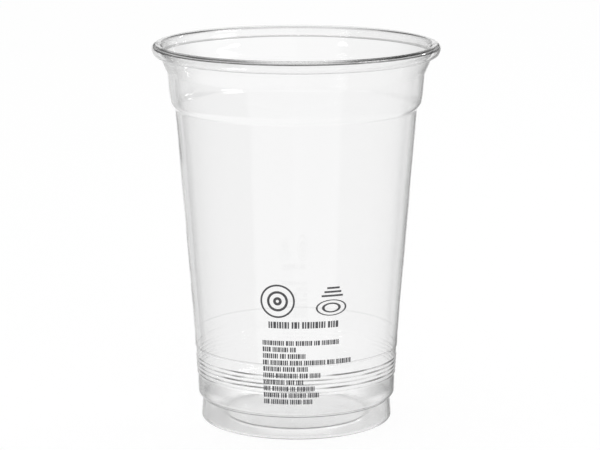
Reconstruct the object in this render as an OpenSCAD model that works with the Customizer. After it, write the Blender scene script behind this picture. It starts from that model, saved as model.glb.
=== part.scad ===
// Clear disposable drinking cup, thermoformed from one sheet of plastic.
// The whole cup is one revolved wall. Its section follows a single path, which starts at the
// middle of the raised floor, goes round the foot, up the ribbed band and the tapered body,
// over the stacking shoulder and the flared throat, and ends at the free edge of the rolled rim.
// Diameters are outside diameters. Drafts are angles from upright, opening upwards.

/* [Overall] */
// Outside diameter of the rolled rim, the size a lid is chosen by
rim_d = 95; // [86:0.5:110]
// Height from the table to the top of the rim
cup_h = 126.4; // [105:0.5:165]

/* [Wall thickness] */
// Thickness of the drawn body wall
body_t = 0.35; // [0.3:0.05:0.6]
// Thickness of the floor and the foot, which are drawn less
foot_t = 0.45; // [0.35:0.05:0.7]
// Thickness of the rolled rim, nearly that of the sheet
roll_t = 0.8; // [0.6:0.05:0.9]

/* [Rolled rim] */
// Width of the roll, from the mouth wall to its outside
roll_w = 3.5; // [3:0.1:4.5]
// Outside radius of the roll's outer leg, which turns in under the crest
leg_r = 2.9; // [2:0.05:3.2]
// Gap between the roll's free edge and the mouth wall
edge_gap = 0.8; // [0.4:0.05:1.2]

/* [Throat and stacking band] */
// Depth of the straight mouth wall, from the top of the rim down to the flare
mouth_h = 3.9; // [3.5:0.1:6]
// Height of the flare between the mouth and the throat
flare_h = 5.8; // [3:0.1:8]
// Width of the flare, measured along the radius
flare_w = 2.6; // [1.5:0.1:4]
// Corner radius where the flare turns up into the mouth wall
mouth_r = 2.4; // [1:0.1:4]
// Height of the stacking band below the throat
stack_h = 9.6; // [7:0.1:14]
// Draft of the stacking band in degrees
stack_draft = 6.2; // [1:0.1:8]
// Height of the shoulder under the stacking band
shoulder_h = 1.9; // [1:0.1:3]
// Width of the shoulder's step, measured along the radius
shoulder_w = 1.3; // [0.6:0.05:2]
// Corner radius of the throat and the shoulder
shoulder_r = 1.5; // [0.6:0.1:2.5]

/* [Lower body] */
// Height of the smooth upright band above the small step
band_h = 4; // [2:0.1:8]
// Draft of the upright band in degrees
band_draft = 1.9; // [0.5:0.1:4]
// Width of the small step below the upright band
step_w = 0.25; // [0.1:0.05:0.4]
// Height of the small step
step_h = 0.4; // [0.3:0.05:0.8]

/* [Ribs] */
// Number of stiffening ribs
rib_n = 5; // [3:1:9]
// Distance from one rib to the next
rib_pitch = 1.4; // [1.2:0.05:1.8]
// Height of a rib above the valleys beside it
rib_h = 0.22; // [0.08:0.01:0.3]
// Draft of the ribbed band in degrees
rib_draft = 3.5; // [1:0.1:6]
// Corner radius of the crests and valleys
rib_r = 0.35; // [0.3:0.05:0.8]
// Height of the smooth wall between the ribs and the small step
rib_gap = 2.4; // [1:0.1:6]

/* [Ledge and foot] */
// Outside diameter of the foot at its widest, just above the table
foot_d = 63.8; // [56:0.1:72]
// Height of the foot up to its neck, under the ledge
foot_h = 7.7; // [5.5:0.1:11]
// Distance that the foot draws in from its widest place up to the neck
neck_w = 0.5; // [0.2:0.05:1]
// Outside radius of the foot's lower corner
foot_r = 1.4; // [1.2:0.1:2.2]
// Width of the ledge above the neck, measured along the radius
ledge_w = 1.5; // [0.8:0.05:2.2]
// Height of the ledge's sloping underside
ledge_h = 1.3; // [0.6:0.1:2]
// Corner radius of the ledge's outer edge
ledge_r = 1.8; // [0.6:0.1:3]
// Corner radius of the neck, where the foot meets the ledge
neck_r = 0.3; // [0.3:0.1:1]
// Height of the rounded belly between the ledge and the ribs
belly_h = 6.5; // [3:0.1:9]
// Width of the belly, measured along the radius
belly_w = 0.15; // [0.1:0.05:0.6]
// Corner radius of the belly
belly_r = 2.5; // [1:0.5:5]

/* [Floor] */
// Height of the raised floor panel's underside above the table
floor_rise = 1.4; // [1.2:0.1:4]
// Outside diameter of the raised floor panel
panel_d = 46.8; // [38:0.2:50]
// Height of the step down from the panel to the sloping floor round it
panel_h = 0.7; // [0.3:0.1:1.2]
// Width of that step, measured along the radius
panel_w = 0.6; // [0.3:0.1:1.5]
// Corner radius of the step
panel_r = 0.3; // [0.3:0.1:1]
// Width of the flat ring that the cup stands on
ring_w = 1.2; // [0.8:0.1:1.4]
// Corner radius where the sloping floor meets the ring
ring_r = 3; // [1:0.5:4]

/* [Hidden] */

// Angle of turn that one chord of a rounded corner takes, and chords round the cup
chord_turn = 12;
round_fn = 180;
// Largest share of a straight stretch that one rounded corner may take up
corner_share = 0.48;

// Stations up the wall, counted from the table, and down from the rim
ledge_z = foot_h + ledge_h;
rib_z = ledge_z + belly_h;
step_z = rib_z + rib_n * rib_pitch + rib_gap;
band_z = step_z + step_h;
body_z = band_z + band_h;
flare_z = cup_h - mouth_h;
throat_z = flare_z - flare_h;
stack_z = throat_z - stack_h;
shoulder_z = stack_z - shoulder_h;

// Outside radii at those stations, from the foot up and from the rim in
foot_rad = foot_d / 2;
neck_rad = foot_rad - neck_w;
ledge_rad = neck_rad + ledge_w;
belly_rad = ledge_rad + belly_w;
step_rad = belly_rad + (step_z - rib_z) * tan(rib_draft);
band_rad = step_rad + step_w;
body_low_rad = band_rad + band_h * tan(band_draft);
mouth_rad = rim_d / 2 - roll_w + roll_t;
throat_rad = mouth_rad - flare_w;
stack_rad = throat_rad - stack_h * tan(stack_draft);
body_top_rad = stack_rad - shoulder_w;

// The ring that the cup stands on ends where the foot's lower corner starts
ring_out_rad = foot_rad - foot_r;
ring_in_rad = ring_out_rad - ring_w;

// The path's points are [radius, height, corner radius, wall thickness], on the middle of the
// wall. The helper gives the point for an outside radius on the upright part of the wall.
function wall_at(outside, z, corner, t) = [outside - t / 2, z, corner, t];

// Floor panel, its step, the standing ring and the foot's lower corner
function floor_path() = [
    [0, floor_rise + foot_t / 2, 0, foot_t],
    [panel_d / 2, floor_rise + foot_t / 2, panel_r, foot_t],
    [panel_d / 2 + panel_w, floor_rise - panel_h + foot_t / 2, panel_r, foot_t],
    [ring_in_rad, foot_t / 2, ring_r, foot_t],
    wall_at(foot_rad, foot_t / 2, foot_r - foot_t / 2, foot_t),
];

// Foot wall, ledge and belly
function foot_path() = [
    wall_at(neck_rad, foot_h, neck_r, foot_t),
    wall_at(ledge_rad, ledge_z, ledge_r, foot_t),
    wall_at(belly_rad, rib_z, belly_r, body_t),
];

// One crest and one valley for each rib, on the band's draft
function rib_path() = [
    for (i = [0 : rib_n - 1], half = [0.5, 1])
        let (rise = (i + half) * rib_pitch, crest = half == 0.5 ? rib_h : 0)
        wall_at(belly_rad + rise * tan(rib_draft) + crest, rib_z + rise, rib_r, body_t)
];

// Small step, upright band, tapered body, shoulder, stacking band and throat
function body_path() = [
    wall_at(step_rad, step_z, step_h / 2, body_t),
    wall_at(band_rad, band_z, step_h / 2, body_t),
    wall_at(body_low_rad, body_z, shoulder_r, body_t),
    wall_at(body_top_rad, shoulder_z, shoulder_r, body_t),
    wall_at(stack_rad, stack_z, shoulder_r, body_t),
    wall_at(throat_rad, throat_z, shoulder_r, foot_t),
];

// Points of a rounded stretch of the wall, on the middle of its thickness t
function arc_path(centre, r, from, to, t) =
    let (n = ceil(abs(to - from) / chord_turn))
    [for (i = [1 : n])
        let (a = from + (to - from) * i / n)
        [centre[0] + r * cos(a), centre[1] + r * sin(a), 0, t]];

// Mouth wall, half-round crest of the roll, and its outer leg. The leg turns in until the
// inner corner of its free edge is edge_gap from the mouth wall.
function roll_path() = let (
    mid = roll_t / 2,
    crest_r = roll_w / 2,
    crest_z = cup_h - crest_r,
    edge_rad = mouth_rad + edge_gap,
    leg_rad = rim_d / 2 - leg_r,
    leg_turn = acos(max(-1, min(1, (edge_rad - leg_rad) / (leg_r - roll_t))))
) concat(
    [wall_at(mouth_rad, flare_z, mouth_r, roll_t),
     wall_at(mouth_rad, crest_z, 0, roll_t)],
    arc_path([rim_d / 2 - crest_r, crest_z], crest_r - mid, 180, 0, roll_t),
    arc_path([leg_rad, crest_z], leg_r - mid, 0, -leg_turn, roll_t)
);

function at(p) = [p[0], p[1]];
function unit(v) = v / norm(v);

// Points of the arc that rounds the corner q between p and s. The arc is tangent to both
// stretches, and its radius is limited by their lengths.
function rounded_corner(p, q, s) =
    let (
        back = unit(at(p) - at(q)),
        ahead = unit(at(s) - at(q)),
        turn = acos(max(-1, min(1, -(back * ahead)))),
        room = corner_share * min(norm(at(p) - at(q)), norm(at(s) - at(q))),
        reach = min(q[2] * tan(turn / 2), room)
    )
    reach < 0.01 ? [q] :
    let (
        r = reach / tan(turn / 2),
        centre = at(q) + unit(back + ahead) * r / cos(turn / 2),
        spoke = at(q) + back * reach - centre,
        side = sign(cross(-back, ahead)),
        n = max(2, ceil(turn / chord_turn))
    )
    [for (i = [0 : n])
        let (a = side * turn * i / n)
        [centre[0] + spoke[0] * cos(a) - spoke[1] * sin(a),
         centre[1] + spoke[0] * sin(a) + spoke[1] * cos(a), 0, q[3]]];

// The path with every inner corner rounded
function rounded(path) =
    let (last = len(path) - 1)
    concat([path[0]],
           [for (i = [1 : last - 1]) each rounded_corner(path[i - 1], path[i], path[i + 1])],
           [path[last]]);

// The point beside path[i], half a wall thickness off to one side of the two stretches there
function beside(path, i, side) =
    let (
        last = len(path) - 1,
        into = unit(at(path[min(i + 1, last)]) - at(path[min(i, last - 1)])),
        from = unit(at(path[max(i, 1)]) - at(path[max(i - 1, 0)])),
        mitre = unit(into + from),
        off = side * path[i][3] / 2 / (mitre * into)
    )
    [path[i][0] - mitre[1] * off, path[i][1] + mitre[0] * off];

// Closed section of the wall: up its inside and back down its outside
function wall_section(path) =
    let (last = len(path) - 1)
    concat([for (i = [0 : last]) beside(path, i, 1)],
           [for (i = [last : -1 : 0]) beside(path, i, -1)]);

// Floor, foot, ribs, body, shoulder, throat and rolled rim, formed as one piece
module cup() {
    path = rounded(concat(floor_path(), foot_path(), rib_path(), body_path(), roll_path()));
    color("gainsboro", 0.45)
        rotate_extrude($fn = round_fn)
            polygon(wall_section(path));
}

cup();
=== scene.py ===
# %% [markdown]
# # A clear disposable cup
# This file dresses one thermoformed drinking cup: a single wall of clear plastic, drawn from a
# heated sheet, with a rolled rim, a stacking wall, a ribbed band and a raised floor. The packed
# model gives the true size, and everything here is worked out from it.
#
# Clear plastic has almost no colour of its own. What the eye reads is the light that the wall
# bends and mirrors, so three things carry the picture: an exact section with a true thickness,
# a finely spun mesh, and a studio for the wall to mirror.

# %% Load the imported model
import math

import bmesh
import bpy
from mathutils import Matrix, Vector
from mathutils.bvhtree import BVHTree


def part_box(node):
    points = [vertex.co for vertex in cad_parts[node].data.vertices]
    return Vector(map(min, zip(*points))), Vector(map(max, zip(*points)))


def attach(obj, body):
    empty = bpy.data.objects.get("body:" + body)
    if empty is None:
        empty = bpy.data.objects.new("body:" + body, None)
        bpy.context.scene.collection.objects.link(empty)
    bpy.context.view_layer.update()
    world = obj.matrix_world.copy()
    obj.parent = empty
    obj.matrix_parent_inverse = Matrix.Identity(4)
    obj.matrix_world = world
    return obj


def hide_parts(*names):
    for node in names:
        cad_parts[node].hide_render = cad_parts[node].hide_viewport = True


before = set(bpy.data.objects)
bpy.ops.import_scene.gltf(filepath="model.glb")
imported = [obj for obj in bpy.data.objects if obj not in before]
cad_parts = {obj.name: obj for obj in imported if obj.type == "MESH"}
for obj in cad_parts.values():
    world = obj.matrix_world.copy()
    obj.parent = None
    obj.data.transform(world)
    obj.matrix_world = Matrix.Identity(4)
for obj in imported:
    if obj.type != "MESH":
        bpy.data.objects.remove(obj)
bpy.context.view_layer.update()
low, high = (Vector(corner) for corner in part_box("cup"))
MM = 0.001
RIM_R = (high.x - low.x) / 2
TOP = high.z
scene = bpy.context.scene
print("cup is", round(2 * RIM_R / MM, 1), "mm wide and", round(TOP / MM, 1), "mm high")

# %% [markdown]
# ## The camera
# A long lens stands a little under a metre away and a little above the rim. The mouth shows as
# a flat ellipse and the foot as a rounder one, and the growth from one to the other fixes the
# distance. The camera is level from side to side and only tips down. The lens is worked out
# from its length in pixels, so that the frame stays right whatever size the picture has.

# %% Camera
IMAGE_W = 600
SENSOR_W = 36
FOCAL_PX = 2691
CAMERA_PLACE = (1.22 * MM, -877.7 * MM, 241.7 * MM)
CAMERA_TIP = math.radians(11.37)
NEAREST = 0.01

camera_data = bpy.data.cameras.new("camera")
camera_data.sensor_width = SENSOR_W
camera_data.lens = FOCAL_PX / IMAGE_W * SENSOR_W
camera_data.clip_start = NEAREST
camera = bpy.data.objects.new("camera", camera_data)
camera.location = CAMERA_PLACE
camera.rotation_euler = (math.pi / 2 - CAMERA_TIP, 0, 0)
scene.collection.objects.link(camera)
scene.camera = camera
print("lens", round(camera_data.lens), "mm at", round(-CAMERA_PLACE[1], 3), "m")

# %% [markdown]
# ## The section of the wall
# A thermoformed wall is best thought of as one bent line with a thickness. The line starts at
# the middle of the floor, goes round the foot, up the ribs and the body, and curls over at the
# rim. All of it is written in millimetres. The sheet stays thickest where it was gripped, at
# the rim, and it is thinnest on the tall body, where it was drawn furthest. The heights come
# first, because every later cell measures from them.

# %% Thicknesses and heights
FOOT_T = 0.45
BODY_T = 0.35
ROLL_T = 0.8
RIM = RIM_R / MM
CUP_H = TOP / MM

NECK_Z = 7.7
LEDGE_Z = 9.0
RIB_Z = 15.5
MOUTH_H = 3.9
FLARE_H = 5.8
STACK_H = 9.6
SHOULDER_H = 1.9
FLARE_Z = CUP_H - MOUTH_H
THROAT_Z = FLARE_Z - FLARE_H
STACK_Z = THROAT_Z - STACK_H
SHOULDER_Z = STACK_Z - SHOULDER_H
print("stacking wall from", round(STACK_Z, 1), "to", round(THROAT_Z, 1), "mm up")

# %% [markdown]
# ## The floor and the foot
# The middle of the floor is a raised panel, so that the cup stands on a ring and can't rock.
# Above the ring the foot rises almost straight to a sharp neck, where the body starts with a
# soft ledge. Each corner below is a radius, a height and a corner radius, on the middle of the
# wall. The sharp corners come first and an operator rounds them afterwards, which keeps the
# drawing short and easy to change.

# %% Corners of the floor and the foot
FOOT_R = 31.9
FOOT_ROUND = 1.4
RING_W = 1.2
RING_ROUND = 3
NECK_W = 0.5
LEDGE_W = 1.5
LEDGE_ROUND = 1.8
BELLY_W = 0.15
BELLY_ROUND = 2.5
NECK_R = FOOT_R - NECK_W
LEDGE_R = NECK_R + LEDGE_W
BELLY_R = LEDGE_R + BELLY_W
FLOOR_RISE = 0.7
PANEL_H = 0.7
FLOOR_Z = FLOOR_RISE + FOOT_T / 2
PANEL_Z = FLOOR_Z + PANEL_H
PANEL_R = 23.4
PANEL_EDGE = 0.6
TIGHT = 0.3


def at(outside, z, corner, t):
    """A corner on the middle of the wall, from the radius of its outside."""
    return (outside - t / 2, z, corner)


corners = [
    (0, PANEL_Z, 0),
    (PANEL_R, PANEL_Z, TIGHT),
    (PANEL_R + PANEL_EDGE, FLOOR_Z, TIGHT),
    (FOOT_R - FOOT_ROUND - RING_W, FOOT_T / 2, RING_ROUND),
    at(FOOT_R, FOOT_T / 2, FOOT_ROUND - FOOT_T / 2, FOOT_T),
    at(NECK_R, NECK_Z, TIGHT, FOOT_T),
    at(LEDGE_R, LEDGE_Z, LEDGE_ROUND, FOOT_T),
    at(BELLY_R, RIB_Z, BELLY_ROUND, BODY_T),
]
print("floor stands", round(FLOOR_Z - FOOT_T / 2, 2), "mm above the table")

# %% [markdown]
# ## The ribs
# Five fine ribs run round the bottom of the body and stiffen the thin wall where fingers press
# on it. Each is a low wave, a fifth of a millimetre high. They could be a bump in the material,
# but a bump would not bend the outline or the light that passes through, so they are real
# corners of the section: one for each crest and one for each valley.

# %% Corners of the ribs
RIB_COUNT = 5
RIB_PITCH = 1.4
RIB_H = 0.22
RIB_ROUND = 0.35
RIB_SLOPE = math.tan(math.radians(3.5))

for i in range(RIB_COUNT):
    for half, crest in ((0.5, RIB_H), (1, 0)):
        rise = (i + half) * RIB_PITCH
        outside = BELLY_R + rise * RIB_SLOPE + crest
        corners.append(at(outside, RIB_Z + rise, RIB_ROUND, BODY_T))
print(RIB_COUNT, "ribs over", RIB_COUNT * RIB_PITCH, "mm")

# %% [markdown]
# ## The step and the body
# Above the ribs the wall steps out by a quarter of a millimetre, runs up a short band, and then
# opens into the long plain body. The step is a mould line: a small sharp feature that catches a
# thin line of light all round, so it is kept in the section too.

# %% Corners of the step and the body
RIB_GAP = 2.4
STEP_Z = RIB_Z + RIB_COUNT * RIB_PITCH + RIB_GAP
STEP_R = BELLY_R + (STEP_Z - RIB_Z) * RIB_SLOPE
STEP_ROUND = 0.2
STEP_H = 0.4
STEP_W = 0.25
BAND_Z = STEP_Z + STEP_H
BAND_R = STEP_R + STEP_W
BAND_H = 4
BAND_SLOPE = math.tan(math.radians(1.9))
BODY_Z = BAND_Z + BAND_H
BODY_R = BAND_R + BAND_H * BAND_SLOPE
BODY_ROUND = 1.5

corners += [
    at(STEP_R, STEP_Z, STEP_ROUND, BODY_T),
    at(BAND_R, BAND_Z, STEP_ROUND, BODY_T),
    at(BODY_R, BODY_Z, BODY_ROUND, BODY_T),
]
print("body starts", round(BODY_Z, 1), "mm up, radius", round(BODY_R, 1), "mm")

# %% [markdown]
# ## The stacking wall and the flare
# When cups are nested, the shoulder of one rests on the wall below the rim of the next, which
# keeps them from jamming. That stacking wall bellies out a little: it leans less at the top
# than at the bottom and turns in with a wide curve. Over it the throat opens into a softly
# curved flare that carries the rim. Two extra corners with large radii give the belly and the
# curve without any hand-placed points.

# %% Corners of the stacking wall and the flare
ROLL_W = 3.5
MOUTH_R = RIM - ROLL_W + ROLL_T
MOUTH_ROUND = 2.4
FLARE_W = 2.4
THROAT_R = MOUTH_R - FLARE_W
THROAT_ROUND = 4
BULGE_RISE = 2.9
BULGE_W = 0.1
BULGE_ROUND = 30
BULGE_Z = STACK_Z + BULGE_RISE
HIGH_SLOPE = math.tan(math.radians(6.2))
LOW_SLOPE = math.tan(math.radians(8.5))
BULGE_R = THROAT_R + BULGE_W - (THROAT_Z - BULGE_Z) * HIGH_SLOPE
STACK_R = BULGE_R - (BULGE_Z - STACK_Z) * LOW_SLOPE
STACK_DROP = 0.4
STACK_ROUND = 3.5
SHOULDER_W = 1.36
SHOULDER_R = STACK_R - SHOULDER_W
SHOULDER_ROUND = 1.5
FLARE_MID_W = 1.22
FLARE_MID_H = 2.9
FLARE_MID_R = THROAT_R + FLARE_MID_W
FLARE_MID_Z = THROAT_Z + FLARE_MID_H
FLARE_MID_ROUND = 6

corners += [
    at(SHOULDER_R, SHOULDER_Z, SHOULDER_ROUND, BODY_T),
    at(STACK_R, STACK_Z - STACK_DROP, STACK_ROUND, BODY_T),
    at(BULGE_R, BULGE_Z, BULGE_ROUND, BODY_T),
    at(THROAT_R, THROAT_Z, THROAT_ROUND, FOOT_T),
    at(FLARE_MID_R, FLARE_MID_Z, FLARE_MID_ROUND, FOOT_T),
    at(MOUTH_R, FLARE_Z, MOUTH_ROUND, ROLL_T),
]
print(len(corners), "corners below the roll")

# %% [markdown]
# ## The rolled rim
# The rim is heated again and rolled outwards, which makes a smooth edge to drink from and a
# stiff hoop for a lid. It has no corners at all, so its middle line is two arcs joined at the
# top: the crest, and a wider one for the leg that comes down outside and tucks in to a free
# edge. The leg stops where its gap to the wall has shrunk to the wanted width, and one arc
# cosine gives that angle.

# %% The rolled rim as two arcs
CHORD = math.radians(9)
LEG_R = 2.9
EDGE_GAP = 0.8
CREST_R = 1.75
CREST_Z = CUP_H - CREST_R


def arc(centre, radius, start, stop):
    """Points round an arc in degrees, without the first one."""
    n = math.ceil(abs(stop - start) / math.degrees(CHORD))
    turns = [math.radians(start + (stop - start) * (k + 1) / n) for k in range(n)]
    return [(centre[0] + radius * math.cos(a), centre[1] + radius * math.sin(a)) for a in turns]


leg_turn = math.degrees(math.acos((MOUTH_R + EDGE_GAP - RIM + LEG_R) / (LEG_R - ROLL_T)))
roll = [(MOUTH_R - ROLL_T / 2, CREST_Z)]
roll += arc((RIM - CREST_R, CREST_Z), CREST_R - ROLL_T / 2, 180, 0)
roll += arc((RIM - LEG_R, CREST_Z), LEG_R - ROLL_T / 2, 0, -leg_turn)
print("the roll's leg turns in by", round(leg_turn), "degrees")

# %% [markdown]
# ## Rounding the corners
# A vertex bevel on a bare chain of edges replaces each corner by an arc. The offset is the
# distance from the corner to the arc's ends, so the corner radius is turned into that distance
# first, with the tangent of half the turn. Where two corners lie close together, each may take
# just under half of the edge between them, so that no arcs overlap.

# %% Round the corners of the chain
SHARE = 0.48


def chain(points):
    """A bmesh that holds one open chain of edges in the XZ plane, in metres."""
    bm = bmesh.new()
    verts = [bm.verts.new((r * MM, 0, z * MM)) for r, z in points]
    for a, b in zip(verts, verts[1:]):
        bm.edges.new((a, b))
    return bm, verts


points = [Vector(c[:2]) for c in corners] + [Vector(p) for p in roll]
wall, verts = chain(points)
for i, (_, _, radius) in enumerate(corners):
    if not radius:
        continue
    back, ahead = points[i - 1] - points[i], points[i + 1] - points[i]
    turn = math.pi - back.angle(ahead)
    reach = min(radius * math.tan(turn / 2), SHARE * min(back.length, ahead.length))
    bmesh.ops.bevel(
        wall,
        geom=[verts[i]],
        offset=reach * MM,
        offset_type="OFFSET",
        segments=max(2, math.ceil(turn / CHORD)),
        profile=0.5,
        affect="VERTICES",
        material=-1,
    )
print(len(wall.verts), "points along the section")

# %% [markdown]
# ## Spinning the wall
# One full spin turns the chain into the cup. Clear plastic shows every facet, since each one
# bends the light its own way, so the spin has many steps. The seam and the pole at the middle
# of the floor are merged, and the normals are made to agree before the wall gets its
# thickness: on a closed shell the same step would turn the inside round.

# %% Spin the wall
SPIN_STEPS = 192
MERGE = 1e-7

bmesh.ops.spin(
    wall,
    geom=wall.verts[:] + wall.edges[:],
    cent=(0, 0, 0),
    axis=(0, 0, 1),
    angle=math.tau,
    steps=SPIN_STEPS,
    use_merge=True,
    use_duplicate=False,
)
bmesh.ops.remove_doubles(wall, verts=wall.verts, dist=MERGE)
bmesh.ops.recalc_face_normals(wall, faces=wall.faces)
print(len(wall.faces), "faces on the middle of the wall")

# %% [markdown]
# ## Thickness by height
# The sheet thins evenly between the places where the mould stopped it, so the thickness is a
# straight line between a few stations. The last part of the roll thins once more towards its
# free edge, where the trimming blade squeezed the hot plastic. That soft edge matters: a blunt
# one would draw a dark ring inside the rim.

# %% Thickness as a share of the roll's
DRAWN = [
    (LEDGE_Z, FOOT_T),
    (RIB_Z, BODY_T),
    (STACK_Z, BODY_T),
    (THROAT_Z, FOOT_T),
    (FLARE_Z, ROLL_T),
]
EDGE_START = 40
EDGE_SHARE = 0.35
LEG_GAP = 0.3


def thickness(z):
    """Wall thickness in millimetres at height z, straight between the stations."""
    if z <= DRAWN[0][0]:
        return DRAWN[0][1]
    for (z0, t0), (z1, t1) in zip(DRAWN, DRAWN[1:]):
        if z <= z1:
            return t0 + (t1 - t0) * (z - z0) / (z1 - z0)
    return ROLL_T


def edge_share(r, z):
    """The share of the thickness that is left where the roll thins out to its free edge."""
    down = math.degrees(math.atan2(CREST_Z - z, r - RIM + LEG_R))
    if r < MOUTH_R + LEG_GAP or down < EDGE_START:
        return 1
    return 1 - (1 - EDGE_SHARE) * (down - EDGE_START) / (leg_turn - EDGE_START)


def wall_share(place):
    """The share of the roll's thickness at a point on the middle of the wall."""
    r, z = math.hypot(place.x, place.y) / MM, place.z / MM
    return thickness(z) / ROLL_T * edge_share(r, z)


print("thinnest share:", round(min(wall_share(v.co) for v in wall.verts), 2))

# %% [markdown]
# ## Growing the wall
# Solidify grows the middle surface to both sides. A vertex group tells it how much of the full
# thickness each point gets, which is how one modifier makes a wall that changes from floor to
# rim. It is applied at once, because the print is laid on the finished outside.

# %% Grow the wall


def as_object(name, bm):
    """A mesh object at the origin that holds the bmesh."""
    mesh = bpy.data.meshes.new(name)
    bm.to_mesh(mesh)
    bm.free()
    obj = bpy.data.objects.new(name, mesh)
    scene.collection.objects.link(obj)
    return obj


def apply_modifiers(obj):
    """Bake the object's modifiers into its mesh."""
    depsgraph = bpy.context.evaluated_depsgraph_get()
    finished = bpy.data.meshes.new_from_object(obj.evaluated_get(depsgraph))
    obj.modifiers.clear()
    obj.data = finished


clear_wall = as_object("clear_wall", wall)
group = clear_wall.vertex_groups.new(name="thickness")
for v in clear_wall.data.vertices:
    group.add([v.index], wall_share(v.co), "REPLACE")
solidify = clear_wall.modifiers.new("wall", "SOLIDIFY")
solidify.thickness = ROLL_T * MM
solidify.offset = 0
solidify.use_even_offset = True
solidify.vertex_group = group.name
apply_modifiers(clear_wall)
print("clear_wall has", sum(len(p.vertices) - 2 for p in clear_wall.data.polygons), "triangles")

# %% [markdown]
# ## Smooth shading
# The moulded wall is smooth everywhere except at the rim's free edge, which was cut. Smooth
# shading with a sharp angle keeps that one edge crisp. The piece then takes the place of the
# plain solid and rides on the cup's only body.

# %% Smooth shading with a crisp free edge
SHARP_ANGLE = math.radians(40)

clear_wall.data.polygons.foreach_set("use_smooth", [True] * len(clear_wall.data.polygons))
clear_wall.data.set_sharp_from_angle(angle=SHARP_ANGLE)
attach(clear_wall, "root")
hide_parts("cup")
print("clear_wall stands in for the solid cup")

# %% [markdown]
# ## The printed block
# A small block of dark ink sits low on the front: two round marks, one wide line and ten narrow
# ones, all made of plain bars and rings. Ink could be a pattern in the plastic's material, but
# fine strokes stay sharper as a mesh, and the ink is really a thin film on the outside. Each
# mark starts flat, as a sheet laid out in millimetres, and is then wrapped: every point is
# dropped straight onto the wall, so the ink follows the taper and the ribs.

# %% Wrap a flat drawing on the wall
INK_T = 0.02
BODY_MEAN_R = 35
START_OUTSIDE = 1.2
skin = BVHTree.FromPolygons(
    [v.co for v in clear_wall.data.vertices],
    [p.vertices for p in clear_wall.data.polygons],
)


def on_wall(s, z):
    """The point of the outside wall at height z, s millimetres round from the front."""
    angle = s / BODY_MEAN_R
    out = Vector((math.sin(angle), -math.cos(angle), 0))
    start = out * (RIM_R * START_OUTSIDE) + Vector((0, 0, z * MM))
    hit, normal, _, _ = skin.ray_cast(start, -out)
    return hit, normal


def wrap(bm):
    """Move a drawing in the XY plane, in millimetres, onto the wall, and give it thickness."""
    for v in bm.verts:
        hit, normal = on_wall(v.co.x, v.co.y)
        v.co = hit + normal * (INK_T * MM)
    bmesh.ops.recalc_face_normals(bm, faces=bm.faces)
    for f in bm.faces:
        centre = f.calc_center_median()
        if f.normal.dot(Vector((centre.x, centre.y, 0))) < 0:
            f.normal_flip()
    bmesh.ops.solidify(bm, geom=bm.faces[:], thickness=INK_T * MM)


print("ink is laid", INK_T, "mm thick")

# %% [markdown]
# ## Bars and rings
# Everything in the block is a bar or a ring. A bar is a grid, cut into small cells so that it
# can bend round the wall and over the ribs. A ring is a circle whose edges are extruded and
# pushed outwards, and a flattened one makes an oval.

# %% Bars and rings for the drawing
CELL = 0.35
RING_STEPS = 72


def bar(bm, left, right, middle, height):
    """A flat bar, cut finely enough to follow the wall."""
    across = max(1, round((right - left) / CELL))
    up = max(1, round(height / CELL))
    made = bmesh.ops.create_grid(bm, x_segments=across, y_segments=up, size=0.5)["verts"]
    for v in made:
        v.co.x = left + (v.co.x + 0.5) * (right - left)
        v.co.y = middle + v.co.y * height


def ring(bm, x, y, outer, width, flat=1):
    """A flat ring round (x, y), or an oval when it is flattened."""
    start = bmesh.ops.create_circle(bm, segments=RING_STEPS, radius=outer - width)["verts"]
    inner = list({e for v in start for e in v.link_edges})
    grown = bmesh.ops.extrude_edge_only(bm, edges=inner)["geom"]
    rim = [v for v in grown if isinstance(v, bmesh.types.BMVert)]
    for v in rim:
        v.co *= outer / (outer - width)
    for v in start + rim:
        v.co = (x + v.co.x, y + v.co.y * flat, 0)


print("bars are cut into cells of", CELL, "mm")

# %% [markdown]
# ## The two marks
# The left mark is a target of three rings. The right one is an oval target with three bars over
# it, each shorter than the one below. Radii and widths stand in pairs, from the outside in.

# %% Two marks
MARK_Y = 47.2
TARGET_X = -6.0
TARGET_RINGS = ((5.6, 0.6), (3.4, 0.8), (1.4, 0.9))
OVAL_X = 11.5
OVAL_DROP = 2.4
OVAL_FLAT = 0.52
OVAL_RINGS = ((5.2, 0.6), (3.2, 0.9))
BAR_COUNT = 3
BAR_LEFT = 3.4
BAR_RIGHT = 3.8
BAR_CUT_LEFT = 0.9
BAR_CUT_RIGHT = 0.6
BAR_RISE = 1.6
BAR_PITCH = 1.3
BAR_H = 0.65

marks = bmesh.new()
for outer, width in TARGET_RINGS:
    ring(marks, TARGET_X, MARK_Y, outer, width)
for outer, width in OVAL_RINGS:
    ring(marks, OVAL_X, MARK_Y - OVAL_DROP, outer, width, OVAL_FLAT)
for k in range(BAR_COUNT):
    left = OVAL_X - BAR_LEFT + BAR_CUT_LEFT * k
    right = OVAL_X + BAR_RIGHT - BAR_CUT_RIGHT * k
    bar(marks, left, right, MARK_Y + BAR_RISE + BAR_PITCH * k, BAR_H)
wrap(marks)
print("marks:", len(marks.faces), "faces")

# %% [markdown]
# ## The lines
# Each line is a row of upright strokes with even gaps, grouped in uneven clusters, which reads
# from afar as a grey line of print. Stroke widths and cluster lengths come from two short lists
# that are walked through again and again, so nothing random is needed and no two lines match.

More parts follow.
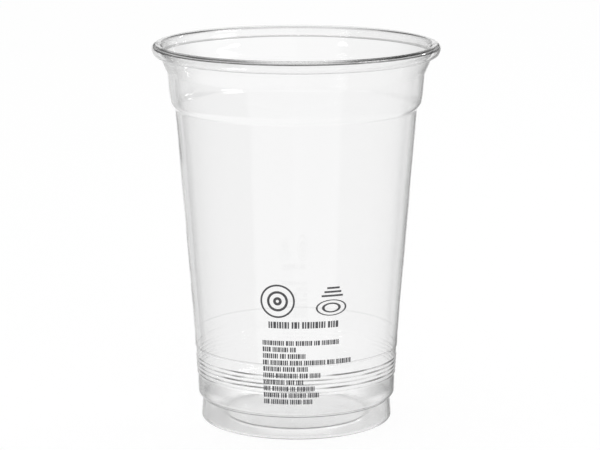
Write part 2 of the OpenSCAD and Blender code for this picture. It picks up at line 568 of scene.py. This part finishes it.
# %% Lines of short strokes
LINE_LEFT = -11.3
LINE_TOP = 33.1
LINE_PITCH = 2.21
LINE_H = 1.6
LINE_LENGTHS = (27.3, 11.9, 16.2, 31.0, 15.2, 20.1, 14.5, 19.2, 19.5, 17.3)
WIDE_LEFT = -9.1
WIDE_RIGHT = 14.5
WIDE_Z = 39.2
WIDE_H = 2.2
WIDE_SIZE = 1.3
STROKES = (0.36, 0.58, 0.36, 0.44, 0.7, 0.36, 0.5)
STROKE_GAP = 0.22
CLUSTERS = (11, 4, 8, 3, 9, 6)
LAST_CLUSTER = 2.8


def line(bm, left, right, middle, height, size, shift):
    """A line of upright strokes in clusters, which starts both lists at a shifted place."""
    x = left
    count = 0
    cluster = shift
    step = shift
    while True:
        wide = STROKES[step % len(STROKES)] * size
        if x + wide > right:
            break
        bar(bm, x, x + wide, middle, height)
        x += wide + STROKE_GAP * size
        count += 1
        step += 1
        if count == CLUSTERS[cluster % len(CLUSTERS)]:
            if right - x < LAST_CLUSTER * size:
                break
            x += STROKE_GAP * size * 2
            count = 0
            cluster += 1


lines = bmesh.new()
line(lines, WIDE_LEFT, WIDE_RIGHT, WIDE_Z, WIDE_H, WIDE_SIZE, 2)
for i, length in enumerate(LINE_LENGTHS):
    line(lines, LINE_LEFT, LINE_LEFT + length, LINE_TOP - LINE_PITCH * i, LINE_H, 1, i)
wrap(lines)
print("lines:", len(lines.faces), "faces")

# %% [markdown]
# ## The ink as pieces
# The marks and the lines become two objects, so that either can be taken off the cup. Both ride
# on the same body as the wall.

# %% Ink as objects
print_marks = as_object("print_marks", marks)
print_lines = as_object("print_lines", lines)
for piece in (print_marks, print_lines):
    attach(piece, "root")
    print(piece.name, "has", len(piece.data.vertices), "points")

# %% [markdown]
# ## Writing shader maths
# A node tree is a formula drawn with wires. The small class below lets the formula be written
# as plain Python: it wraps an output socket, and each operator adds the Math node that it
# stands for. The reflected forms make 1 - mask work as well as mask - 1.


# %% Sockets that can be added and multiplied
class Value:
    """One output socket of a node tree."""

    def __init__(self, graph, socket):
        self.graph = graph
        self.socket = socket

    def math(self, operation, *others):
        inputs = dict(enumerate((self, *others)))
        return self.graph.add("Math", {"operation": operation}, inputs)

    def __add__(self, other):
        return self.math("ADD", other)

    def __sub__(self, other):
        return self.math("SUBTRACT", other)

    def __rsub__(self, other):
        return self.graph.add("Math", {"operation": "SUBTRACT"}, {0: other, 1: self})

    def __mul__(self, other):
        return self.math("MULTIPLY", other)

    def __rmul__(self, other):
        return self.math("MULTIPLY", other)

    def __truediv__(self, other):
        return self.math("DIVIDE", other)

    def __lt__(self, other):
        return self.math("LESS_THAN", other)

    def __gt__(self, other):
        return self.math("GREATER_THAN", other)


# %% [markdown]
# ## Adding nodes
# Every other node is added by one method. It takes the node's type, then its settings, which
# have to be set first because some of them change the sockets, and then a number, a colour or a
# link for each input. Two small helpers make the nodes that come up again and again: a place
# taken apart into its axes, and a smooth change between two levels.


# %% A node tree that is filled one node at a time
class Graph:
    """A node tree that is filled one node at a time."""

    def __init__(self, owner):
        owner.use_nodes = True
        self.tree = owner.node_tree
        self.tree.nodes.clear()

    def add(self, kind, settings=None, inputs=None, output=0):
        """Add a node: its settings first, then its inputs, and give back one output."""
        node = self.tree.nodes.new("ShaderNode" + kind)
        for name, setting in (settings or {}).items():
            if name == "stops":
                for stop, (place, colour) in zip(self.stops(node, len(setting)), setting):
                    stop.position = place
                    stop.color = colour
            else:
                setattr(node, name, setting)
        for name, value in (inputs or {}).items():
            if isinstance(value, Value):
                self.tree.links.new(value.socket, node.inputs[name])
            else:
                node.inputs[name].default_value = value
        return Value(self, node.outputs[output]) if node.outputs else node

    @staticmethod
    def stops(node, count):
        """The colour ramp's stops, as many as are asked for."""
        elements = node.color_ramp.elements
        while len(elements) < count:
            elements.new(1)
        return elements

    def axes(self, vector):
        """The three numbers of a vector."""
        return [self.add("SeparateXYZ", inputs={"Vector": vector}, output=i) for i in range(3)]

    def ramp(self, value, start, stop, first, last):
        """A smooth change from the first level to the last as the value crosses a stretch."""
        return self.add(
            "MapRange",
            {"interpolation_type": "SMOOTHSTEP"},
            {"Value": value, "From Min": start, "From Max": stop, "To Min": first, "To Max": last},
        )


# %% [markdown]
# ## The ink
# One dark grey ink, laid down by a dry offset printer. It is a little uneven: where the ink ran
# thin the grey is lighter, which a very fine noise does. It is duller than the plastic round
# it, so it gets a middling roughness.

# %% Ink
INK_DARK = (0.055, 0.055, 0.06, 1)
INK_THIN = (0.09, 0.09, 0.095, 1)
INK_GRAIN = 1400.0
INK_ROUGHNESS = 0.45

ink = bpy.data.materials.new("printing_ink")
graph = Graph(ink)
place = graph.add("TexCoord", output="Object")
speckle = graph.add("TexNoise", inputs={"Vector": place, "Scale": INK_GRAIN, "Detail": 2.0})
colour = graph.add("ValToRGB", {"stops": [(0.35, INK_DARK), (0.7, INK_THIN)]}, {"Fac": speckle})
film = graph.add("BsdfPrincipled", inputs={"Base Color": colour, "Roughness": INK_ROUGHNESS})
graph.add("OutputMaterial", inputs={"Surface": film})
for piece in (print_marks, print_lines):
    piece.data.materials.clear()
    piece.data.materials.append(ink)
print("ink is on", print_marks.name, "and", print_lines.name)

# %% [markdown]
# ## Places on the plastic
# The plastic's finish changes from place to place: the foot is duller, and fine dark lines of
# painted shade run round the mould's corners. All of that is written with object coordinates,
# so the finish and the painted shade stay on the cup wherever the camera stands. The masks need
# six measures of a point: how far to the left or right it lies, the same without its side, its
# depth, its height, its radius, and how much it belongs to the printed front half.

# %% Measures of a point on the wall
plastic = bpy.data.materials.new("clear_plastic")
graph = Graph(plastic)
place = graph.add("TexCoord", output="Object")
along, depth, height = graph.axes(place)
aside = along.math("ABSOLUTE")
radius = (aside * aside + depth * depth).math("SQRT")


def soft_step(value, start, stop, first=0.0, last=1.0):
    """A smooth change as the value crosses a stretch that is given in millimetres."""
    return graph.ramp(value, start * MM, stop * MM, first, last)


def band_at(z, half):
    """A band round the cup, from half below the height z to half above it, in millimetres."""
    return (height - z * MM).math("ABSOLUTE") < half * MM


FRONT_HALF = (-14, -4)

front = soft_step(depth, *FRONT_HALF, 1, 0)
print("plastic measures six things at each point")

# %% [markdown]
# ## An uneven sheet and a dull foot
# A drawn wall is never perfectly even. Long soft waves from the sheet's sag are put in as a
# faint bump, so that reflections wander a little as they do on the real thing. The foot touched
# the cold end of the mould and came out slightly frosted: a higher roughness below the ribs
# blurs what shows through it.

# %% Waves and roughness
WAVE_SCALE = (55, 55, 60)
WAVE_STRENGTH = 0.12
WALL_ROUGHNESS = 0.015
FOOT_ROUGHNESS = 0.11
FROST_END = (12, 17)

stretched = graph.add("Mapping", inputs={"Vector": place, "Scale": WAVE_SCALE})
waves = graph.add("TexNoise", inputs={"Vector": stretched, "Scale": 1.0, "Detail": 1.0})
bump = graph.add("Bump", inputs={"Strength": WAVE_STRENGTH, "Distance": MM, "Height": waves})
frosted = soft_step(height, *FROST_END, FOOT_ROUGHNESS, WALL_ROUGHNESS)
print("roughness runs from", FOOT_ROUGHNESS, "at the foot to", WALL_ROUGHNESS, "on the body")

# %% [markdown]
# ## Painted shade lines round the foot and the ribs
# The corners of the wall show hair-fine grey lines where they bend and mirror the darker room
# and the shaded table under the cup. Here they are painted shade: one at the neck of the foot,
# one on the crest of each rib but the lowest, and a faint grey band of painted shade under the
# ribs at the sides, the right one deeper. They are too fine for the mesh, so they darken the
# base colour instead. The rib lines come and go round the cup, which a noise that is stretched
# along them gives. Every stretch below is a pair of places in millimetres, or of levels for the
# noise, where a change starts and ends.

# %% Painted shade lines round the foot and the ribs
NECK_LINE_Z = 7.72
NECK_LINE_HALF = 0.22
NECK_SHADE = 0.65
RIB_LINE = 0.17
RIB_SHADE = 0.75
RIB_FAINT = 0.15
RIB_CENTRE = 0.55
RIB_SIDES = (4, 14)
STREAK_SCALE = (90, 90, 500)
STREAK_LEVELS = (0.38, 0.62)
HAZE_FOOT = (10.8, 12.6)
HAZE_TOP = (15, 18)
HAZE_SIDES = (18, 28)
HAZE_TURN = (0, 20)
HAZE_SHADE = 0.2
HAZE_RIGHT = 1.5

# Painted shade: a dark line at the neck of the foot, only on the front.
neck_line = band_at(NECK_LINE_Z, NECK_LINE_HALF) * front
rib_top = RIB_Z + RIB_COUNT * RIB_PITCH
rib_phase = ((height - RIB_Z * MM) / (RIB_PITCH * MM)).math("FRACT") - 0.5
on_ribs = (height > (RIB_Z + RIB_PITCH) * MM) * (height < rib_top * MM)
streaks = graph.add("Mapping", inputs={"Vector": place, "Scale": STREAK_SCALE})
patch = graph.add("TexNoise", inputs={"Vector": streaks, "Scale": 1.0, "Detail": 1.0})
patch = graph.add(
    "MapRange",
    inputs={"Value": patch, "From Min": STREAK_LEVELS[0], "From Max": STREAK_LEVELS[1]},
)
# Painted shade: a dark line on each rib crest but the lowest, patchy and lighter in the middle.
rib_line = (rib_phase.math("ABSOLUTE") < RIB_LINE) * on_ribs * front
rib_line = rib_line * (patch * (1 - RIB_FAINT) + RIB_FAINT)
rib_line = rib_line * soft_step(aside, *RIB_SIDES, RIB_CENTRE, 1)
# Painted shade: a darker band under the ribs at the sides, deeper on the right.
shade_haze = soft_step(height, *HAZE_FOOT) * soft_step(height, *HAZE_TOP, 1, 0)
shade_haze = shade_haze * soft_step(aside, *HAZE_SIDES) * soft_step(along, *HAZE_TURN, 1, HAZE_RIGHT) * front
# All the painted shade round the foot and the ribs, as one darkening of the base colour.
low_shade = neck_line * NECK_SHADE + rib_line * RIB_SHADE + shade_haze * HAZE_SHADE
print("rib lines up to", round(rib_top, 1), "mm")

# %% [markdown]
# ## Painted shade lines at the step, the band and the shoulder
# The same painted shade, but fainter: a line on the front of the band just over the step, one
# at the back where the band meets the body, seen through the cup, and one on the shoulder that
# fades in to the sides.

# %% Painted shade lines at the step, the band and the shoulder
STEP_LINE_Z = BAND_Z + 0.4
STEP_LINE_HALF = 0.2
STEP_SHADE = 0.2
BROAD_HALF = 0.3
REAR_SHADE = 0.07
SHOULDER_SHADE = 0.09
SHOULDER_SIDES = (16, 30)

# Painted shade: fainter dark lines at the step, at the back of the band and on the shoulder.
step_line = band_at(STEP_LINE_Z, STEP_LINE_HALF) * front
rear_line = band_at(BODY_Z, BROAD_HALF) * (1 - front)
shoulder_line = band_at(SHOULDER_Z, BROAD_HALF) * front * soft_step(aside, *SHOULDER_SIDES)
middle_shade = step_line * STEP_SHADE + rear_line * REAR_SHADE + shoulder_line * SHOULDER_SHADE
print("step line", round(STEP_LINE_Z, 1), "mm up")

# %% [markdown]
# ## Painted shade lines on the rim
# The roll is the thickest part of the cup and was bent twice. Its front shows two dark lines
# with light between them, where it mirrors and bends the darker room, and here they are painted
# shade: one on the crest and one just over the widest part. The painted crest line is faint at
# the middle of the front and strongest halfway to the sides, a little more so on the right, and
# it fades again at the two ends.

# %% Painted shade lines on the rim
CREST_SHADE = 0.6
CREST_FAINT = 0.15
CREST_END = 0.3
CREST_RIGHT = 1.35
CREST_HEIGHT = (CUP_H - 0.8, CUP_H - 0.4)
CREST_SIDES = (6, 20)
CREST_LEFT_END = (-41, -28)
CREST_RIGHT_END = (37, 44)
CREST_TURN = (12, 26)
BEAD_Z = CUP_H - 1.05
BEAD_HALF = 0.22
BEAD_OUTER = 1
BEAD_SHADE = 0.88

# Painted shade: a dark line on the crest of the rim, strongest halfway to the sides.
crest = soft_step(height, *CREST_HEIGHT) * front
crest = crest * (soft_step(aside, *CREST_SIDES) * (1 - CREST_FAINT) + CREST_FAINT)
crest = crest * soft_step(along, *CREST_LEFT_END, CREST_END, 1)
crest = crest * soft_step(along, *CREST_RIGHT_END, 1, CREST_END)
crest = crest * soft_step(along, *CREST_TURN, 1, CREST_RIGHT)
# Painted shade: a dark line on the bead, just over the widest part of the roll.
bead = band_at(BEAD_Z, BEAD_HALF) * (radius > (RIM - BEAD_OUTER) * MM) * front
high_shade = crest * CREST_SHADE + bead * BEAD_SHADE
print("bead line", round(BEAD_Z, 1), "mm up")

# %% [markdown]
# ## The clear plastic
# The wall is a true solid with two faces, so the shader only has to bend light at each face:
# full transmission, the refractive index of the plastic and almost no roughness. A shadow ray
# can't be bent, and would stop at the wall as if it were wood, so it meets a transparent shader
# instead, which takes a little light away at each face. That leaves the pale shadow that clear
# plastic casts.

# %% Clear plastic
PLASTIC_IOR = 1.57
PLASTIC_TINT = 0.995
SHADOW_TINT = (0.94, 0.94, 0.94, 1)

# The plastic's own tint, less all the painted shade lines of the cells above.
painted_shade_tone = PLASTIC_TINT - low_shade - middle_shade - high_shade
tint = graph.add("CombineColor", inputs={0: painted_shade_tone, 1: painted_shade_tone, 2: painted_shade_tone})
body = graph.add(
    "BsdfPrincipled",
    inputs={
        "Base Color": tint,
        "Roughness": frosted,
        "IOR": PLASTIC_IOR,
        "Transmission Weight": 1.0,
        "Normal": bump,
    },
)
shadow = graph.add("LightPath", output="Is Shadow Ray")
pale = graph.add("BsdfTransparent", inputs={"Color": SHADOW_TINT})
mixed = graph.add("MixShader", inputs={0: shadow, 1: body, 2: pale})
print("plastic bends light with an index of", PLASTIC_IOR)

# %% [markdown]
# ## The feathered free edge
# The roll's free edge at the back of the cup is seen through the wall, as a faint grey line. It
# is thinner than any mesh edge can show, so the rear half of that part of the roll is mixed with
# plain transparency, which lets more of the backdrop through and leaves the line its soft grey.

# %% Feathered free edge
EDGE_CLEAR = 0.6
EDGE_DEPTH = 3.4

under = (height < (CUP_H - EDGE_DEPTH) * MM) * (radius > (MOUTH_R + LEG_GAP) * MM)
feather = under * (1 - front) * EDGE_CLEAR
clear = graph.add("BsdfTransparent")
mixed = graph.add("MixShader", inputs={0: feather, 1: mixed, 2: clear})
graph.add("OutputMaterial", inputs={"Surface": mixed})
clear_wall.data.materials.clear()
clear_wall.data.materials.append(plastic)
print("plastic has", len(plastic.node_tree.nodes), "nodes")

# %% [markdown]
# ## The studio
# Clear plastic is photographed in front of a white backdrop with darker surroundings. Looking
# straight through the wall shows the backdrop, and the steep edges mirror and bend in the
# darker room, which draws the outline. The world is that room, painted by direction: how far a
# ray turns away from straight ahead, to which side, and how high it looks. Soft ramps join the
# parts, because a hard border would show as a line in every curve of the cup.

# %% Directions in the studio
world = bpy.data.worlds.new("studio")
scene.world = world
graph = Graph(world)


def blend(share, one, two):
    """A mix of two levels."""
    return one * (1 - share) + two * share


direction = graph.add("TexCoord", output="Generated")
across, away, upward = graph.axes(direction)
azimuth = across.math("ARCTAN2", away)
turned = azimuth.math("ABSOLUTE")
print("the studio is painted by direction")

# %% [markdown]
# ## The walls of the studio
# The backdrop fills a narrow angle straight ahead. Beside it the room is darker on the right
# than on the left, which makes the right outline of the cup the stronger one. Further round, a
# dark flag stands on the left, from about 36 to 58 degrees, and draws the second, inner line
# along the left outline, while the right gets lighter there. Towards the camera and behind it
# the right side is bright, and lights up the left of the cup from inside. The left is dark
# there, and lightens only at the very back. Every stretch below is a pair of angles in radians,
# where a change starts and ends.

# %% Backdrop and side walls
BACKDROP_HALF = 0.2
BACKDROP_EDGE = 0.34
LEFT_SIDE = 0.7
FLAG = 0.24
LEFT_BEYOND = 0.48
RIGHT_SIDE = 0.32
RIGHT_BEYOND = 0.52
FAR_LEFT = 0.26
FAR_RIGHT = 0.74
BEHIND = 0.62
FLAG_START = (0.62, 0.76)
FLAG_STOP = (0.86, 1.02)
RIGHT_TURN = (0.5, 0.7)
FAR_TURN = (0.7, 1.3)
BEHIND_TURN = (2.3, 2.4)

beside = graph.ramp(turned, BACKDROP_HALF, BACKDROP_EDGE, 0, 1)
flag = graph.ramp(turned, *FLAG_START, LEFT_SIDE, FLAG)
left_near = blend(graph.ramp(turned, *FLAG_STOP, 0, 1), flag, LEFT_BEYOND)
right_near = graph.ramp(turned, *RIGHT_TURN, RIGHT_SIDE, RIGHT_BEYOND)
near = blend(azimuth > 0, left_near, right_near)
far_left = graph.ramp(turned, *BEHIND_TURN, FAR_LEFT, BEHIND)
far = blend(azimuth > 0, far_left, FAR_RIGHT)
side = blend(graph.ramp(turned, *FAR_TURN, 0, 1), near, far)
view = blend(beside, 1, side)
print("backdrop is", round(math.degrees(2 * BACKDROP_HALF)), "degrees wide")

# %% [markdown]
# ## Above and below
# Above the backdrop hangs its pale top, with one dark gap below the ceiling that puts a crisp
# line on the crest of the rim. To both sides of that pale top the room is dark, until it takes
# on the level of the far walls. The ceiling is pale and so is the table. Light that falls on
# the matt floor comes from an even white level instead of this room, so the floor stays white
# however the room is painted. Heights are the upward part of a direction, from -1 to 1.

# %% Ceiling, table and even light
BACKDROP_TOP = 0.85
GAP_ABOVE = 0.1
ABOVE_SIDES = 0.14
CEILING = 0.85
TABLE = 0.88
AMBIENT = 1.0
GAP_START = (0.3, 0.36)
GAP_STOP = (0.5, 0.56)
TOP_EDGE = (0.09, 0.2)
TOP_FAR = (1.0, 1.5)
WALLS_END = (0.0, 0.1)
CEILING_EDGE = (0.7, 0.8)
TABLE_EDGE = (-0.6, -0.4)

gap = graph.ramp(upward, *GAP_START, 0, 1) - graph.ramp(upward, *GAP_STOP, 0, 1)
centre = blend(gap, BACKDROP_TOP, GAP_ABOVE)
above = blend(graph.ramp(turned, *TOP_EDGE, 0, 1), centre, ABOVE_SIDES)
above = blend(graph.ramp(turned, *TOP_FAR, 0, 1), above, far)
room = blend(graph.ramp(upward, *WALLS_END, 0, 1), view, above)
room = blend(graph.ramp(upward, *CEILING_EDGE, 0, 1), room, CEILING)
room = blend(graph.ramp(upward, *TABLE_EDGE, 1, 0), room, TABLE)
lighting = graph.add("LightPath", output="Diffuse Depth") > 0.5
level = blend(lighting, room, AMBIENT)
grey = graph.add("CombineColor", inputs={0: level, 1: level, 2: level})
light = graph.add("Background", inputs={"Color": grey, "Strength": 1.0})
graph.add("OutputWorld", inputs={"Surface": light})
print("world has", len(world.node_tree.nodes), "nodes")

# %% [markdown]
# ## The floor
# A pale floor runs into the white of the picture without a border. Most of what the camera sees
# of it is a plain white glow, and the rest is matt paint that takes the cup's pale shadow. A
# mirrored ray passes straight through the floor, so that the cup mirrors the studio's own pale
# table and not a lit plane.

# %% Floor
FLOOR_HALF = 1.5
FLOOR_PAINT = (0.9, 0.9, 0.9, 1)
SHADOW_SHARE = 0.12

floor_mesh = bmesh.new()
bmesh.ops.create_grid(floor_mesh, x_segments=1, y_segments=1, size=FLOOR_HALF)
floor = as_object("floor", floor_mesh)

floor_paint = bpy.data.materials.new("floor_white")
graph = Graph(floor_paint)
mirrored = graph.add("LightPath", output="Glossy Depth") > 0.5
lighting = graph.add("LightPath", output="Diffuse Depth") > 0.5
matt = graph.add("BsdfDiffuse", inputs={"Color": FLOOR_PAINT})
glow = graph.add("Emission", inputs={"Color": (1, 1, 1, 1), "Strength": 1.0})
seen = graph.add("MixShader", inputs={0: SHADOW_SHARE, 1: glow, 2: matt})
plain = graph.add("MixShader", inputs={0: lighting, 1: seen, 2: matt})
gone = graph.add("BsdfTransparent")
floor_shader = graph.add("MixShader", inputs={0: mirrored, 1: plain, 2: gone})
graph.add("OutputMaterial", inputs={"Surface": floor_shader})
floor.data.materials.append(floor_paint)
print("floor is", 2 * FLOOR_HALF, "m wide")

# %% [markdown]
# ## The lamps
# Four weak lamps put the small highlights on the cup: one inside the rear wall on the left, a
# long one below it on the stacking wall, a small one inside the rear wall on the right, and a
# point of light at the left shoulder. A lamp shows in a curved mirror only where the angle
# fits, so each one was placed by following a ray from the highlight back into the room. Each
# has a place in metres, a width and height, and a power in watts.

# %% Lamps
LAMPS = {
    "right_softbox": ((0.914, -0.369, 0.58), (0.45, 0.06), 0.7),
    "right_high": ((0.7, -0.098, 0.906), (0.42, 0.35), 1.6),
    "left_softbox": ((-0.486, -0.47, 0.454), (0.12, 0.05), 0.05),
    "rear_lamp": ((0.803, 0.674, 0.555), (0.1, 0.1), 0.45),
}
AIM = Vector((0, 0, TOP / 2))

for name, (spot, size, power) in LAMPS.items():
    lamp = bpy.data.lights.new(name, "AREA")
    lamp.shape = "ELLIPSE"
    lamp.size, lamp.size_y = size
    lamp.energy = power
    holder = bpy.data.objects.new(name, lamp)
    holder.location = spot
    holder.rotation_euler = (AIM - Vector(spot)).to_track_quat("-Z", "Y").to_euler()
    scene.collection.objects.link(holder)
print(len(LAMPS), "lamps")

# %% [markdown]
# ## The view
# The Standard view keeps a white of one white and every grey as it is written.

# %% View settings
scene.view_settings.view_transform = "Standard"
